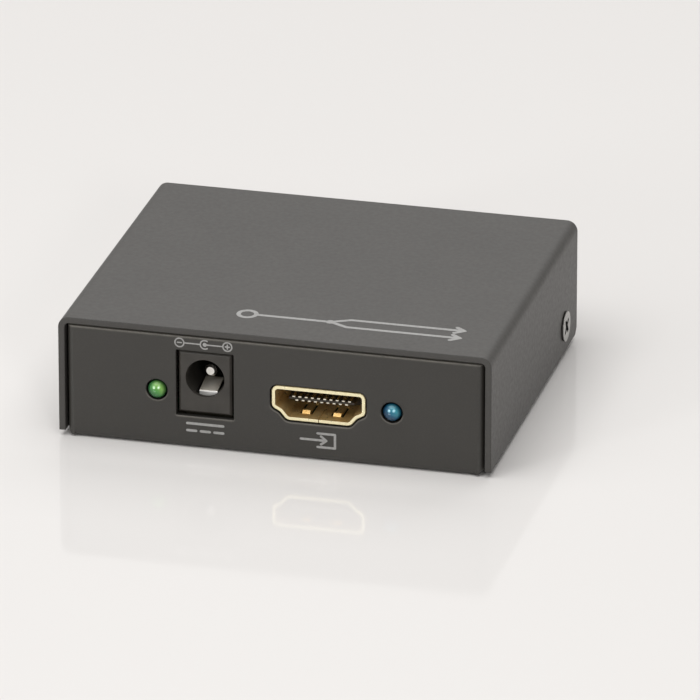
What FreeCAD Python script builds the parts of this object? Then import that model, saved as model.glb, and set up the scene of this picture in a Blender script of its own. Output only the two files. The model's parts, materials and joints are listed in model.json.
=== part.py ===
import FreeCAD, Part
import math
import os
import re

import Sketcher

# A small metal-cased video signal splitter: one input socket and a power inlet in front, two
# output sockets behind. X runs to the right, Y to the rear and Z up. The origin lies on the
# surface that the case stands on, below its middle. Lengths are in millimetres.

SIZES = {
    # bent steel cover
    "case_width": 69.8,
    "case_depth": 59.0,
    "case_height": 20.2,
    "cover_sheet": 1.0,
    "cover_inner_bend": 0.75,
    "cover_lift": 0.95,
    "cover_corner": 1.0,
    # bent steel tray with the front and rear panels
    "base_sheet": 1.0,
    "base_inner_bend": 0.15,
    "panel_inset": 0.1,
    "roof_gap": 0.4,
    "side_gap": 0.3,
    "corner_cut_beyond": 0.1,
    "corner_cut_up": 0.3,
    "corner_cut_slant": 0.78,
    "floor_corner": 2.0,
    "front_return": 6.0,
    "rear_return": 13.0,
    # how far a cut runs past the sheet that it goes through
    "cut_overrun": 1.0,
    # screws that hold the cover
    "cover_screw_from_rear": 8.5,
    "cover_screw_height": 5.4,
    "cover_screw_head_radius": 2.46,
    "cover_screw_rim": 0.15,
    "cover_screw_proud": 0.35,
    "cover_screw_length": 4.3,
    "countersink_clearance": 0.08,
    "thread_radius": 1.5,
    "thread_clearance": 0.03,
    # cross recess of every screw
    "recess_arm": 1.5,
    "recess_width": 0.6,
    "recess_heart": 0.95,
    "cover_recess_turn": 38.0,
    "recess_depth": 1.0,
    # circuit board and what carries it
    "board_side_gap": 0.95,
    "board_end_gap": 0.6,
    "board_thickness": 1.6,
    "board_corner": 1.5,
    "standoff_height": 3.0,
    "standoff_radius": 2.1,
    "standoff_head_flats": 4.8,
    "standoff_clearance": 0.02,
    "standoff_from_end": 4.2,
    "board_screw_head_radius": 2.6,
    "board_screw_head_height": 1.9,
    "board_screw_reach": 4.2,
    "lead_clearance": 0.15,
    # mouth of a video socket
    "socket_recess": 0.15,
    "input_across": 7.12,
    "output_across": 13.0,
    "socket_height": 3.56,
    "mouth_width": 14.0,
    "mouth_height": 4.55,
    "mouth_side": 2.74,
    "shoulder_across": 1.13,
    "shoulder_angle": 28.0,
    "flank_angle": 50.0,
    "mouth_corner": 0.5,
    "shoulder_corner": 0.35,
    "waist_corner": 1.2,
    "mouth_foot_corner": 0.6,
    "socket_cutout_clearance": 0.22,
    # shell of a video socket
    "shell_wall": 0.3,
    "lip_wall": 0.58,
    "lip_depth": 0.6,
    "lip_edge": 0.12,
    "seam_width": 0.12,
    "shell_depth": 10.6,
    "shell_leg_width": 1.6,
    "shell_leg_overlap": 0.4,
    "shell_leg_first": 2.6,
    "shell_leg_last": 8.4,
    "leg_below_board": 1.0,
    "finger_width": 1.25,
    "finger_slot": 0.4,
    "finger_start": 1.9,
    "finger_end": 6.2,
    "finger_spacing": 5.0,
    "finger_bump_peak": 0.45,
    "finger_bump_slope": 0.45,
    "finger_bump_length": 1.3,
    # tongue and contacts of a video socket
    "tongue_rise": 0.12,
    "tongue_thickness": 0.36,
    "tongue_width": 10.6,
    "tongue_recess": 2.0,
    "insulator_start": 7.2,
    "insulator_clearance": 0.05,
    "contact_pitch": 1.0,
    "contact_width": 0.44,
    "contact_thickness": 0.2,
    "contact_setback": 0.02,
    "contact_drop": 0.6,
    "contact_foot": 1.0,
    # power jack
    "jack_across": 11.18,
    "jack_recess": 0.15,
    "jack_width": 8.6,
    "jack_height": 10.7,
    "jack_flange": 3.6,
    "jack_flange_lift": 0.4,
    "jack_depth": 14.0,
    "jack_barrel_width": 8.0,
    "jack_barrel_corner": 3.5,
    "jack_edge": 0.35,
    "jack_bore_height": 6.35,
    "jack_bore_radius": 3.15,
    "jack_rear_wall": 2.0,
    "jack_cutout_clearance": 0.2,
    "jack_side_clearance": 0.38,
    "jack_cutout_corner": 0.15,
    "jack_channel_width": 3.7,
    "jack_channel_floor": 1.15,
    "jack_channel_front": 0.75,
    "jack_pin_radius": 1.0,
    "jack_pin_recess": 3.2,
    "jack_pin_edge": 0.35,
    "jack_tail_radius": 0.75,
    "rivet_overhang": 0.4,
    "rivet_height": 0.4,
    "terminal_thickness": 0.3,
    "terminal_width": 2.4,
    "terminal_top": 1.8,
    "terminal_corner": 0.3,
    # leaf spring that grips the plug's sleeve
    "leaf_width": 2.9,
    "leaf_thickness": 0.25,
    "leaf_tip": 2.0,
    "leaf_tip_drop": 2.86,
    "leaf_tip_round": 0.08,
    "leaf_lip": 0.85,
    "leaf_crest": 6.0,
    "leaf_crest_drop": 2.0,
    "leaf_crest_round": 0.5,
    "leaf_root": 11.2,
    "leaf_root_drop": 4.7,
    "leaf_eye_radius": 0.25,
    "leaf_root_gap": 0.06,
    "spring_foot": 1.0,
    "spring_wall_rise": 0.1,
    "switch_across": 4.7,
    "switch_from_face": 9.6,
    "switch_gap": 0.06,
    "switch_end": 0.7,
    # indicator lamps
    "lamp_across": 18.97,
    "lamp_height": 3.8,
    "lamp_radius": 1.5,
    "lamp_hole_radius": 1.75,
    "lamp_proud": 0.95,
    "lamp_length": 5.3,
    "lamp_flange_radius": 1.9,
    "lamp_flange_thickness": 1.0,
    "lamp_lead": 0.5,
    "lamp_lead_spacing": 2.54,
    "lamp_lead_reach": 1.2,
    # splitter chip and memory chip
    "chip_size": 10.0,
    "chip_thickness": 1.4,
    "chip_corner": 0.3,
    "chip_lift": 0.1,
    "chip_across": 3.0,
    "chip_along": 2.0,
    "chip_pitch": 0.8,
    "chip_leg_width": 0.35,
    "leg_thickness": 0.15,
    "leg_reach": 1.0,
    "chip_mark_inset": 1.2,
    "chip_mark_radius": 0.4,
    "chip_mark_depth": 0.1,
    "memory_length": 4.9,
    "memory_width": 3.9,
    "memory_thickness": 1.4,
    "memory_pitch": 1.27,
    "memory_leg_width": 0.42,
    "memory_gap": 6.15,
    "memory_ahead": 6.0,
    # crystal
    "crystal_length": 11.4,
    "crystal_width": 4.7,
    "crystal_height": 3.6,
    "crystal_base": 0.8,
    "crystal_rim": 0.5,
    "crystal_corner": 2.2,
    "crystal_gap": 1.65,
    # power parts at the left side of the board
    "power_part_inset": 1.85,
    "capacitor_radius": 3.15,
    "capacitor_height": 5.4,
    "capacitor_base_height": 1.2,
    "capacitor_base_margin": 0.15,
    "capacitor_pitch": 8.2,
    "capacitor_from_front": 15.2,
    "coil_size": 7.3,
    "coil_height": 3.4,
    "coil_base": 0.6,
    "coil_core_radius": 2.6,
    "coil_corner": 1.2,
    "coil_gap": 4.0,
    "regulator_length": 6.5,
    "regulator_width": 3.5,
    "regulator_height": 1.6,
    "regulator_lift": 0.05,
    "regulator_foot": 1.7,
    "regulator_foot_overlap": 0.25,
    "regulator_foot_width": 0.75,
    "regulator_foot_thickness": 0.35,
    "regulator_foot_pitch": 2.3,
    "regulator_tab_width": 3.0,
    "regulator_gap": 0.35,
    "regulator_spacing": 1.5,
    "regulator_behind": 3.6,
    "fuse_length": 4.6,
    "fuse_width": 3.2,
    "fuse_height": 0.8,
    "fuse_gap": 1.75,
    # small parts on the board
    "small_part_length": 1.6,
    "small_part_width": 0.8,
    "small_part_height": 0.7,
    "small_part_pitch": 2.6,
    "small_part_spacing": 1.8,
    "small_part_gap": 1.2,
    "array_length": 2.9,
    "array_width": 1.6,
    "array_height": 1.0,
    "array_pitch": 3.5,
    "array_gap": 2.85,
}
UPPER_CONTACTS = 10
LOWER_CONTACTS = 9
CHIP_LEGS = 11
MEMORY_LEGS = 4
HEXAGON = 6
CROSS_ARMS = 4

# heights, depths and distances that several pieces share
FRONT_FACE = "(panel_inset - case_depth / 2)"
REAR_FACE = "(case_depth / 2 - panel_inset)"
PANEL_TOP = "(case_height - cover_sheet - roof_gap)"
PANEL_HALF = "(case_width / 2 - cover_sheet - side_gap)"
BASE_BEND = "(base_inner_bend + base_sheet)"
COVER_BEND = "(cover_inner_bend + cover_sheet)"
BOARD_UNDER = "(base_sheet + standoff_height)"
BOARD_TOP = "(base_sheet + standoff_height + board_thickness)"
SCREW_END = "(case_width / 2 + cover_screw_proud - cover_screw_length)"
BOARD_HALF_WIDTH = f"({SCREW_END} - board_side_gap)"
BOARD_HALF_DEPTH = "(case_depth / 2 - panel_inset - base_sheet - board_end_gap)"
LAMP_OUTER = "(lamp_across + (lamp_lead_spacing + lamp_lead) / 2)"
SCREW_ACROSS = f"(({LAMP_OUTER} + {BOARD_HALF_WIDTH}) / 2)"
SCREW_ALONG = f"({BOARD_HALF_DEPTH} - standoff_from_end)"
TAPPED_RADIUS = "(thread_radius + thread_clearance)"
COVER_SCREW_ALONG = "(case_depth / 2 - cover_screw_from_rear)"
LAMP_Z = f"({BOARD_TOP} + lamp_height)"
LAMP_FRONT = f"({FRONT_FACE} - lamp_proud)"
LAMP_BACK = f"({LAMP_FRONT} + lamp_length + lamp_lead_reach + lamp_lead)"
JACK_Y = f"({FRONT_FACE} + jack_recess)"
JACK_Z = f"({BOARD_TOP} + jack_bore_height)"
JACK_BACK = f"({JACK_Y} + jack_depth + terminal_thickness + rivet_height)"
JACK_INNER_FLOOR = "(jack_channel_floor - jack_bore_height)"
SPRING_WALL = "(leaf_root + leaf_eye_radius + leaf_root_gap)"
# rise of the leaf to its crest and its fall to the root, per unit of depth
LEAF_RISE = "((leaf_tip_drop - leaf_crest_drop) / (leaf_crest - leaf_tip))"
LEAF_FALL = "((leaf_root_drop - leaf_crest_drop) / (leaf_root - leaf_crest))"
# underside of the switch contact, just above the leaf at rest
SWITCH_EDGE = "(switch_from_face - terminal_width / 2 - leaf_crest)"
SWITCH_LOW = f"(switch_gap - leaf_crest_drop - {SWITCH_EDGE} * {LEAF_FALL})"
SOCKET_Z = f"({BOARD_TOP} + socket_height)"
SOCKET_BACK = f"({REAR_FACE} - socket_recess - shell_depth - contact_drop - contact_foot)"
LEAD_BELOW = "(board_thickness + leg_below_board)"

# places on the board, across and along, seen from above
CHIP_HALF = "(chip_size / 2 + leg_reach)"
CAPACITOR_ACROSS = f"(power_part_inset + capacitor_radius - {BOARD_HALF_WIDTH})"
CAPACITOR_ALONG = f"(capacitor_from_front - {BOARD_HALF_DEPTH})"
COIL_PLACE = (
    f"power_part_inset + coil_size / 2 - {BOARD_HALF_WIDTH}",
    f"{CAPACITOR_ALONG} + capacitor_pitch + capacitor_radius + coil_gap + coil_size / 2",
)
REGULATOR_REACH = "(regulator_width / 2 - regulator_foot_overlap + regulator_foot)"
REGULATOR_ACROSS = (
    f"({CAPACITOR_ACROSS} + capacitor_radius + capacitor_base_margin"
    f" + regulator_gap + {REGULATOR_REACH})"
)
REGULATOR_ALONG = f"({CAPACITOR_ALONG} + regulator_behind)"
CRYSTAL_PLACE = (f"(chip_across - {CHIP_HALF} - crystal_gap - crystal_width / 2)", "chip_along")
MEMORY_PLACE = (
    f"(chip_across + {CHIP_HALF} + memory_gap + memory_length / 2)",
    "(chip_along - memory_ahead)",
)
FUSE_PLACE = ("fuse_length / 2 - jack_across", f"{JACK_BACK} + fuse_gap + fuse_width / 2")
ARRAY_ALONG = f"({SOCKET_BACK} - array_gap - array_width / 2)"

NORMAL_SIGN = {"XY_Plane": 1, "XZ_Plane": -1, "YZ_Plane": 1}
SMALL = 1e-6
SAME_PLACE = 1e-4

doc = FreeCAD.newDocument("video_signal_splitter")
sheet = doc.addObject("Spreadsheet::Sheet", "sizes")
for row, (alias, size) in enumerate(SIZES.items(), start=1):
    sheet.set(f"A{row}", alias)
    sheet.set(f"B{row}", str(size))
    sheet.setAlias(f"B{row}", alias)
doc.recompute()
pieces = []


def full(text):
    """The formula with each size's alias written as a reference to the spreadsheet."""
    return re.sub(
        r"[a-z][a-z_]*",
        lambda word: f"sizes.{word[0]}" if word[0] in SIZES else word[0],
        text,
    )


def number(text):
    return float(sheet.evalExpression(full(text)))


def bind(thing, name, text):
    thing.setExpression(name, full(text))


def new_body(label, x="0", y="0", z="0", turn=0):
    """An empty body at a place; turn is its angle about Z in degrees."""
    body = doc.addObject("PartDesign::Body", label)
    body.Label = label
    body.Placement = FreeCAD.Placement(
        FreeCAD.Vector(0, 0, 0), FreeCAD.Rotation(FreeCAD.Vector(0, 0, 1), turn)
    )
    bind(body, "Placement.Base.x", x)
    bind(body, "Placement.Base.y", y)
    bind(body, "Placement.Base.z", z)
    pieces.append(body)
    return body


def origin_plane(body, role):
    return next(feature for feature in body.Origin.OriginFeatures if feature.Role == role)


def new_sketch(body, name, role, offset="0", up="0"):
    """A sketch parallel to an origin plane, moved by offset along that plane's world axis.

    up moves its origin along its own second axis.
    """
    sketch = body.newObject("Sketcher::SketchObject", f"{body.Name}_{name}")
    sketch.AttachmentSupport = [(origin_plane(body, role), "")]
    sketch.MapMode = "FlatFace"
    sign = "-" if NORMAL_SIGN[role] < 0 else ""
    bind(sketch, "AttachmentOffset.Base.z", f"{sign}({offset})")
    bind(sketch, "AttachmentOffset.Base.y", up)
    sketch.recompute()
    return sketch


def point_rules(geometry, end, x, y):
    """Rules that fix a point of a sketch at x, y from its origin, each with its formula."""
    rules = []
    for kind, text, axis in (("DistanceX", x, -2), ("DistanceY", y, -1)):
        value = number(text)
        if abs(value) < SMALL:
            rules.append((Sketcher.Constraint("PointOnObject", geometry, end, axis), None))
        else:
            rules.append((Sketcher.Constraint(kind, -1, 1, geometry, end, value), text))
    return rules


def add_rules(sketch, rules):
    """Add constraints to the sketch and bind each that has a formula."""
    indices = sketch.addConstraint([rule for rule, text in rules])
    for index, (rule, text) in zip(indices, rules):
        if text is not None:
            bind(sketch, f"Constraints[{index}]", text)


def outline(sketch, corners):
    """A closed outline through corners of (x, y) or, where it is rounded, (x, y, radius)."""
    points = [FreeCAD.Vector(number(corner[0]), number(corner[1]), 0) for corner in corners]
    radii = [number(corner[2]) if len(corner) > 2 else 0 for corner in corners]
    count = len(corners)
    arrive, leave, middles = [], [], []
    for i, point in enumerate(points):
        back = (points[i - 1] - point).normalize()
        ahead = (points[(i + 1) % count] - point).normalize()
        half = back.getAngle(ahead) / 2
        reach = radii[i] / math.tan(half)
        arrive.append(point + back * reach)
        leave.append(point + ahead * reach)
        middles.append(point + (back + ahead).normalize() * (radii[i] / math.sin(half)))
    first_side = sketch.GeometryCount
    sketch.addGeometry([Part.LineSegment(leave[i], arrive[(i + 1) % count]) for i in range(count)])
    rules = []
    for i, corner in enumerate(corners):
        before, after = first_side + (i - 1) % count, first_side + i
        if len(corner) == 2:
            rules.append((Sketcher.Constraint("Coincident", before, 2, after, 1), None))
            rules += point_rules(after, 1, corner[0], corner[1])
            continue
        spokes = [arrive[i] - middles[i], leave[i] - middles[i]]
        turns_left = spokes[0].cross(spokes[1]).z > 0
        angles = [math.atan2(spoke.y, spoke.x) for spoke in spokes]
        if not turns_left:
            angles.reverse()
        ring = Part.Circle(middles[i], FreeCAD.Vector(0, 0, 1), radii[i])
        arc = sketch.addGeometry(Part.ArcOfCircle(ring, angles[0], angles[1]))
        point = sketch.addGeometry(Part.Point(points[i]), True)
        first, last = (1, 2) if turns_left else (2, 1)
        rules += [
            (Sketcher.Constraint("Tangent", before, 2, arc, first), None),
            (Sketcher.Constraint("Tangent", arc, last, after, 1), None),
            (Sketcher.Constraint("Radius", arc, radii[i]), corner[2]),
            (Sketcher.Constraint("PointOnObject", point, 1, before), None),
            (Sketcher.Constraint("PointOnObject", point, 1, after), None),
        ]
        rules += point_rules(point, 1, corner[0], corner[1])
    add_rules(sketch, rules)


def rectangle(sketch, left, right, low, high, radius=None):
    corners = [(left, low), (right, low), (right, high), (left, high)]
    outline(sketch, [corner + (radius,) if radius else corner for corner in corners])


def block_at(sketch, x, y, width, height):
    """A rectangle of width and height with its middle at x, y."""
    rectangle(
        sketch,
        f"{x} - ({width}) / 2",
        f"{x} + ({width}) / 2",
        f"{y} - ({height}) / 2",
        f"{y} + ({height}) / 2",
    )


def hexagon(sketch, x, y, flats):
    """A hexagon of that width across its flats, with its middle at x, y."""
    reach = f"(({flats}) / 2 / cos(180 / {HEXAGON}))"
    turns = [f"({side} * 360 / {HEXAGON})" for side in range(HEXAGON)]
    outline(sketch, [(f"{x} + {reach} * cos{turn}", f"{y} + {reach} * sin{turn}") for turn in turns])


def circle(sketch, x, y, radius):
    middle = FreeCAD.Vector(number(x), number(y), 0)
    ring = sketch.addGeometry(Part.Circle(middle, FreeCAD.Vector(0, 0, 1), number(radius)))
    rules = [(Sketcher.Constraint("Radius", ring, number(radius)), radius)]
    add_rules(sketch, rules + point_rules(ring, 3, x, y))


def plane_role(sketch):
    return sketch.AttachmentSupport[0][0].Role


def extrude(body, kind, sketch, length, towards):
    """A Pad or Pocket of the sketch; towards is + or - along the world axis of its plane."""
    feature = body.newObject(f"PartDesign::{kind}", f"{sketch.Name}_{kind.lower()}")
    feature.Profile = sketch
    bind(feature, "Length", length)
    along = (towards == "+") == (NORMAL_SIGN[plane_role(sketch)] > 0)
    feature.Reversed = not along if kind == "Pad" else along
    body.Tip = feature
    return feature


def pad(body, sketch, length, towards="+"):
    return extrude(body, "Pad", sketch, length, towards)


def pocket(body, sketch, length, towards="+"):
    return extrude(body, "Pocket", sketch, length, towards)


def revolve(body, sketch, kind="Revolution", axis="V_Axis"):
    """A full turn of the sketch about one of its own axes."""
    feature = body.newObject(f"PartDesign::{kind}", f"{sketch.Name}_{kind.lower()}")
    feature.Profile = sketch
    feature.ReferenceAxis = (sketch, [axis])
    feature.Angle = 360
    body.Tip = feature
    return feature


def row_of(body, feature, sketch, axis, count, pitch):
    """Copies of a feature in a row along an axis of its sketch."""
    pattern = body.newObject("PartDesign::LinearPattern", f"{feature.Name}_row")
    pattern.Originals = [feature]
    pattern.Direction = (sketch, [axis])
    pattern.Mode = "Spacing"
    pattern.Occurrences = count
    bind(pattern, "Offset", pitch)
    body.Tip = pattern
    return pattern


def chamfer(body, edges, size):
    """A Chamfer of size on the edges of the body's tip that the test picks."""
    base = body.Tip
    base.recompute(True)
    names = [f"Edge{i}" for i, edge in enumerate(base.Shape.Edges, start=1) if edges(edge)]
    if not names:
        raise ValueError(f"{body.Label}: no edge to chamfer")
    feature = body.newObject("PartDesign::Chamfer", f"{base.Name}_chamfer")
    feature.Base = (base, names)
    bind(feature, "Size", size)
    body.Tip = feature
    return feature


def near(value, text):
    return abs(value - number(text)) < SAME_PLACE


def in_plane(edge, axis, text):
    """True where the whole edge lies at one value of an axis."""
    box = edge.BoundBox
    low, high = getattr(box, axis.upper() + "Min"), getattr(box, axis.upper() + "Max")
    return near(low, text) and near(high, text)


def screw_places():
    return [
        (f"{side}{SCREW_ACROSS}", f"{end}{SCREW_ALONG}")
        for side in ("-", "+")
        for end in ("-", "+")
    ]


def cross_recess(body, role, offset, towards, places, turn="0"):
    """The cross recess cut into screw heads at places in one plane; its arms widen inwards."""
    arm, side, heart = "recess_arm", "recess_width / 2", "recess_heart / 2"
    quarter = [(arm, f"-{side}"), (arm, side), (heart, heart)]
    recess = new_sketch(body, f"recess_{len(body.Group)}", role, offset)
    for x, y in places:
        corners = []
        for step in range(CROSS_ARMS):
            angle = f"({turn} + {step} * 360 / {CROSS_ARMS})"
            corners += [
                (
                    f"{x} + ({along}) * cos{angle} - ({beside}) * sin{angle}",
                    f"{y} + ({along}) * sin{angle} + ({beside}) * cos{angle}",
                )
                for along, beside in quarter
            ]
        outline(recess, corners)
    return pocket(body, recess, "recess_depth", towards)


def socket_corners(grow):
    """The mouth of a video socket, moved outwards by grow, in local X and Z."""
    half = "mouth_width / 2"
    top = "mouth_height / 2"
    fall = "shoulder_across * tan(shoulder_angle)"
    flank = f"(mouth_height - mouth_side - {fall}) / tan(flank_angle)"
    middle = "(shoulder_angle + flank_angle) / 2"
    spread = "cos((flank_angle - shoulder_angle) / 2)"
    right = [
        (f"{half} + {grow}", f"{top} + {grow}", f"mouth_corner + {grow}"),
        (
            f"{half} + {grow}",
            f"{top} - mouth_side - ({grow}) * tan(45 - shoulder_angle / 2)",
            f"shoulder_corner + {grow}",
        ),
        (
            f"{half} - shoulder_across + ({grow}) * sin({middle}) / {spread}",
            f"{top} - mouth_side - {fall} - ({grow}) * cos({middle}) / {spread}",
            f"waist_corner - ({grow})",
        ),
        (
            f"{half} - shoulder_across - {flank} + ({grow}) * tan(flank_angle / 2)",
            f"-{top} - ({grow})",
            f"mouth_foot_corner + {grow}",
        ),
    ]
    left = [(f"-({x})", z, radius) for x, z, radius in reversed(right)]
    return right + left


def socket_opening(body, name, face, across, towards):
    """The hole in a panel round the lip of a video socket."""
    cut = new_sketch(body, name, "XZ_Plane", face)
    corners = socket_corners("lip_wall + socket_cutout_clearance")
    outline(cut, [(f"{across} + {x}", f"{SOCKET_Z} + {z}", radius) for x, z, radius in corners])
    pocket(body, cut, "base_sheet", towards)


def top_cover():
    """The cover: roof and two sides bent from one sheet."""
    body = new_body("top_cover")
    section = new_sketch(body, "section", "XZ_Plane", "-case_depth / 2")
    half, inner = "case_width / 2", "(case_width / 2 - cover_sheet)"
    under = "case_height - cover_sheet"
    outline(section, [
        (f"-{half}", "cover_lift"),
        (f"-{half}", "case_height", COVER_BEND),
        (half, "case_height", COVER_BEND),
        (half, "cover_lift"),
        (inner, "cover_lift"),
        (inner, under, "cover_inner_bend"),
        (f"-{inner}", under, "cover_inner_bend"),
        (f"-{inner}", "cover_lift"),
    ])
    pad(body, section, "case_depth")
    corner = new_sketch(body, "rear_corner", "YZ_Plane", f"-{half} - cut_overrun")
    outline(corner, [
        ("case_depth / 2 + cut_overrun", "cover_lift - cut_overrun"),
        ("case_depth / 2 + cut_overrun", "cover_lift + cover_corner + cut_overrun"),
        ("case_depth / 2 - cover_corner - cut_overrun", "cover_lift - cut_overrun"),
    ])
    pocket(body, corner, "case_width + 2 * cut_overrun")
    sink = new_sketch(body, "countersink", "XZ_Plane", COVER_SCREW_ALONG, "cover_screw_height")
    mouth = (
        "(cover_screw_head_radius - cover_screw_proud + cover_screw_rim + countersink_clearance)"
    )
    for side in ("", "-"):
        outline(sink, [
            (f"{side}({half})", "0"),
            (f"{side}({half})", mouth),
            (f"{side}({half} - {mouth} + {TAPPED_RADIUS})", TAPPED_RADIUS),
            (f"{side}{inner}", TAPPED_RADIUS),
            (f"{side}{inner}", "0"),
        ])
    return revolve(body, sink, "Groove", "H_Axis")


def base_tray():
    """The tray: floor, front panel and rear panel bent from one sheet, with returns at the sides."""
    body = new_body("base_tray")
    bent_half = f"({PANEL_HALF} - {BASE_BEND} - corner_cut_beyond)"
    section = new_sketch(body, "section", "YZ_Plane", f"-{bent_half}")
    outline(section, [
        (FRONT_FACE, PANEL_TOP),
        (FRONT_FACE, "0", BASE_BEND),
        (REAR_FACE, "0", BASE_BEND),
        (REAR_FACE, PANEL_TOP),
        (f"{REAR_FACE} - base_sheet", PANEL_TOP),
        (f"{REAR_FACE} - base_sheet", "base_sheet", "base_inner_bend"),
        (f"{FRONT_FACE} + base_sheet", "base_sheet", "base_inner_bend"),
        (f"{FRONT_FACE} + base_sheet", PANEL_TOP),
    ])
    pad(body, section, f"2 * {bent_half}")
    floor = new_sketch(body, "floor", "XY_Plane")
    floor_end = f"({REAR_FACE} - {BASE_BEND} - corner_cut_beyond)"
    cut_half, cut_end = f"({PANEL_HALF} - floor_corner)", f"({floor_end} - floor_corner)"
    outline(floor, [
        (PANEL_HALF, cut_end),
        (cut_half, floor_end),
        (f"-{cut_half}", floor_end),
        (f"-{PANEL_HALF}", cut_end),
        (f"-{PANEL_HALF}", f"-{cut_end}"),
        (f"-{cut_half}", f"-{floor_end}"),
        (cut_half, f"-{floor_end}"),
        (PANEL_HALF, f"-{cut_end}"),
    ])
    pad(body, floor, "base_sheet")
    for name, end, reach in (("front", "-", "front_return"), ("rear", "", "rear_return")):
        panel_returns(body, name, end, reach, bent_half)
    tapped = new_sketch(body, "tapped", "YZ_Plane", f"-{PANEL_HALF} - cut_overrun")
    circle(tapped, COVER_SCREW_ALONG, "cover_screw_height", TAPPED_RADIUS)
    pocket(body, tapped, f"2 * {PANEL_HALF} + 2 * cut_overrun")
    front_openings(body)
    socket_opening(body, "left_output_opening", REAR_FACE, "-output_across", "-")
    socket_opening(body, "right_output_opening", REAR_FACE, "output_across", "-")
    seats = new_sketch(body, "standoff_seats", "XY_Plane")
    for x, y in screw_places():
        hexagon(seats, x, y, "standoff_head_flats + 2 * standoff_clearance")
    return pocket(body, seats, "base_sheet")


def panel_returns(body, name, end, reach, bent_half):
    """The two side returns of one panel, with the lower corners of panel and returns cut at a slant."""
    returns = new_sketch(body, f"{name}_returns", "XY_Plane", "corner_cut_up")
    inner = f"({PANEL_HALF} - base_sheet)"
    for side in ("", "-"):
        outline(returns, [
            (f"{side}{bent_half}", f"{end}{REAR_FACE}"),
            (f"{side}{PANEL_HALF}", f"{end}{REAR_FACE}", BASE_BEND),
            (f"{side}{PANEL_HALF}", f"{end}({REAR_FACE} - {reach})"),
            (f"{side}{inner}", f"{end}({REAR_FACE} - {reach})"),
            (f"{side}{inner}", f"{end}({REAR_FACE} - base_sheet)", "base_inner_bend"),
            (f"{side}{bent_half}", f"{end}({REAR_FACE} - base_sheet)"),
        ])
    pad(body, returns, f"{PANEL_TOP} - corner_cut_up")
    slants = new_sketch(body, f"{name}_slants", "XZ_Plane", f"{end}({REAR_FACE} + cut_overrun)")
    for side in ("", "-"):
        outline(slants, [
            (f"{side}({PANEL_HALF} + cut_overrun)", "corner_cut_up - cut_overrun"),
            (
                f"{side}({PANEL_HALF} + cut_overrun)",
                "corner_cut_up + corner_cut_slant + cut_overrun",
            ),
            (
                f"{side}({PANEL_HALF} - corner_cut_slant - cut_overrun)",
                "corner_cut_up - cut_overrun",
            ),
        ])
    pocket(body, slants, f"cut_overrun + {BASE_BEND} + floor_corner", "+" if end else "-")


def front_openings(body):
    cut = new_sketch(body, "jack_and_lamp_openings", "XZ_Plane", FRONT_FACE)
    rectangle(
        cut,
        "-jack_across - jack_width / 2 - jack_side_clearance",
        "-jack_across + jack_width / 2 + jack_side_clearance",
        f"{BOARD_TOP} - jack_cutout_clearance",
        f"{BOARD_TOP} + jack_height + jack_cutout_clearance",
        "jack_cutout_corner",
    )
    for side in ("-", ""):
        circle(cut, f"{side}lamp_across", LAMP_Z, "lamp_hole_radius")
    pocket(body, cut, "base_sheet")
    socket_opening(body, "input_opening", FRONT_FACE, "input_across", "+")


def cover_screws():
    """Two countersunk screws, one through each side of the cover."""
    body = new_body("cover_screws", y=COVER_SCREW_ALONG, z="cover_screw_height")
    face = "(case_width / 2 + cover_screw_proud)"
    profile = new_sketch(body, "profile", "XZ_Plane")
    taper = "(cover_screw_head_radius - thread_radius)"
    for side in ("", "-"):
        outline(profile, [
            (f"{side}{face}", "0"),
            (f"{side}{face}", "cover_screw_head_radius"),
            (f"{side}({face} - cover_screw_rim)", "cover_screw_head_radius"),
            (f"{side}({face} - cover_screw_rim - {taper})", "thread_radius"),
            (f"{side}{SCREW_END}", "thread_radius"),
            (f"{side}{SCREW_END}", "0"),
        ])
    revolve(body, profile, axis="H_Axis")
    cross_recess(body, "YZ_Plane", face, "-", [("0", "0")], "cover_recess_turn")
    return cross_recess(body, "YZ_Plane", f"-{face}", "+", [("0", "0")], "cover_recess_turn")


def board_standoffs():
    """Four tapped pillars, each with a hexagonal head held flush in the floor of the tray."""
    body = new_body("board_standoffs")
    heads = new_sketch(body, "heads", "XY_Plane")
    pillars = new_sketch(body, "pillars", "XY_Plane", "base_sheet")
    for x, y in screw_places():
        hexagon(heads, x, y, "standoff_head_flats")
        circle(heads, x, y, TAPPED_RADIUS)
        circle(pillars, x, y, "standoff_radius")
        circle(pillars, x, y, TAPPED_RADIUS)
    pad(body, heads, "base_sheet")
    return pad(body, pillars, "standoff_height")


def board_screws():
    """Four pan head screws that hold the board down."""
    body = new_body("board_screws")
    heads = new_sketch(body, "heads", "XY_Plane", BOARD_TOP)
    threads = new_sketch(body, "threads", "XY_Plane", BOARD_TOP)
    for x, y in screw_places():
        circle(heads, x, y, "board_screw_head_radius")
        circle(threads, x, y, "thread_radius")
    pad(body, heads, "board_screw_head_height")
    pad(body, threads, "board_screw_reach", "-")
    top = f"{BOARD_TOP} + board_screw_head_height"
    return cross_recess(body, "XY_Plane", top, "-", screw_places())


def socket_lead_slots(across, mouth, inwards):
    """Middle and size of the four slots that a socket shell's legs pass through in the board."""
    wall = "(mouth_width / 2 + shell_wall / 2)"
    return [
        (f"{across} {side} {wall}", f"{mouth} {inwards} {leg}", "shell_wall", "shell_leg_width")
        for side in ("-", "+")
        for leg in ("shell_leg_first", "shell_leg_last")
    ]


def jack_lead_slots():
    foot = f"{JACK_Y} + {SPRING_WALL} + spring_foot"
    rear = f"{JACK_Y} + jack_depth + terminal_thickness / 2"
    contact = ("-jack_across - switch_across", f"{JACK_Y} + switch_from_face")
    return [
        ("-jack_across", rear, "terminal_width", "terminal_thickness"),
        ("-jack_across", foot, "terminal_width", "terminal_thickness"),
        (*contact, "terminal_thickness", "terminal_width"),
    ]


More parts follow.
